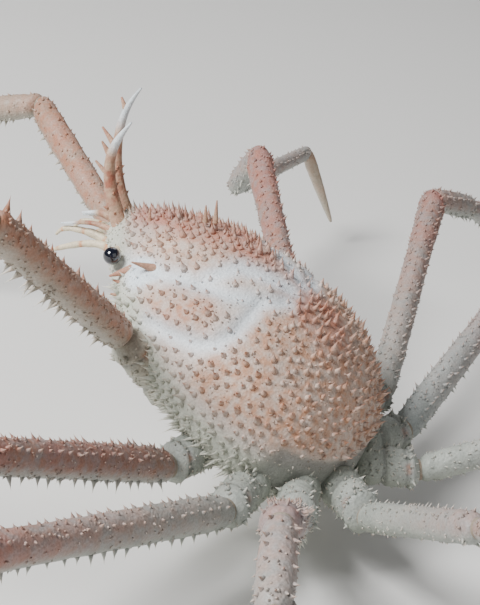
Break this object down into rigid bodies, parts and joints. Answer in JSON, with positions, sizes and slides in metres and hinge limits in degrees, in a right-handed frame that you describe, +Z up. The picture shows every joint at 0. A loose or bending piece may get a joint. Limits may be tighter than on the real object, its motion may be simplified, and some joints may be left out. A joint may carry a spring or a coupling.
{
  "type": "paromola macrochira crab",
  "caption": "Life-size still model of a deep-sea carrier crab, Paromola macrochira: spiny oval carapace, forked front spines, long spread legs, two raised hind legs.",
  "frame": {"origin": "on the floor, under the middle of the whole crab's box", "axes": "+X to the crab's right, +Y forwards, +Z up"},
  "size_m": [0.547, 0.3808, 0.1204],
  "materials": {
    "carapace": "chalky matt shell, pinkish white with orange tubercles",
    "eye": "glossy navy black",
    "feeler": "satin cream with orange joints",
    "underside": "matt greenish white",
    "limb_base": "matt bluish to greenish white with orange joint skin",
    "claw": "satin horn",
    "hind_leg": "matt white to pink shell",
    "cheliped": "matt pink and orange shell with white spines",
    "walking_leg": "matt pink shell, paler towards the body"
  },
  "bodies": {
    "root": {"antenna_left": "feeler", "antenna_right": "feeler", "antennule_left": "feeler", "antennule_right": "feeler", "carapace": "carapace", "cheliped_left_base": "limb_base", "cheliped_left_carpus": "cheliped", "cheliped_left_finger": "claw", "cheliped_left_merus": "cheliped", "cheliped_left_palm": "cheliped", "cheliped_right_base": "limb_base", "cheliped_right_carpus": "cheliped", "cheliped_right_finger": "claw", "cheliped_right_merus": "cheliped", "cheliped_right_palm": "cheliped", "eye_left": "eye", "eye_right": "eye", "eyestalk_left": "feeler", "eyestalk_right": "feeler", "leg2_left_base": "limb_base", "leg2_left_carpus": "walking_leg", "leg2_left_dactylus": "claw", "leg2_left_merus": "walking_leg", "leg2_left_propodus": "walking_leg", "leg2_right_base": "limb_base", "leg2_right_carpus": "walking_leg", "leg2_right_dactylus": "claw", "leg2_right_merus": "walking_leg", "leg2_right_propodus": "walking_leg", "leg3_left_base": "limb_base", "leg3_left_carpus": "walking_leg", "leg3_left_dactylus": "claw", "leg3_left_merus": "walking_leg", "leg3_left_propodus": "walking_leg", "leg3_right_base": "limb_base", "leg3_right_carpus": "walking_leg", "leg3_right_dactylus": "claw", "leg3_right_merus": "walking_leg", "leg3_right_propodus": "walking_leg", "leg4_left_base": "limb_base", "leg4_left_carpus": "walking_leg", "leg4_left_dactylus": "claw", "leg4_left_merus": "walking_leg", "leg4_left_propodus": "walking_leg", "leg4_right_base": "limb_base", "leg4_right_carpus": "walking_leg", "leg4_right_dactylus": "claw", "leg4_right_merus": "walking_leg", "leg4_right_propodus": "walking_leg", "leg5_left_base": "limb_base", "leg5_left_carpus": "hind_leg", "leg5_left_hand": "hind_leg", "leg5_left_merus": "hind_leg", "leg5_right_base": "limb_base", "leg5_right_carpus": "hind_leg", "leg5_right_hand": "hind_leg", "leg5_right_merus": "hind_leg", "maxillipeds": "underside", "pleon": "underside", "sternum": "underside"}
  },
  "joints": []
}
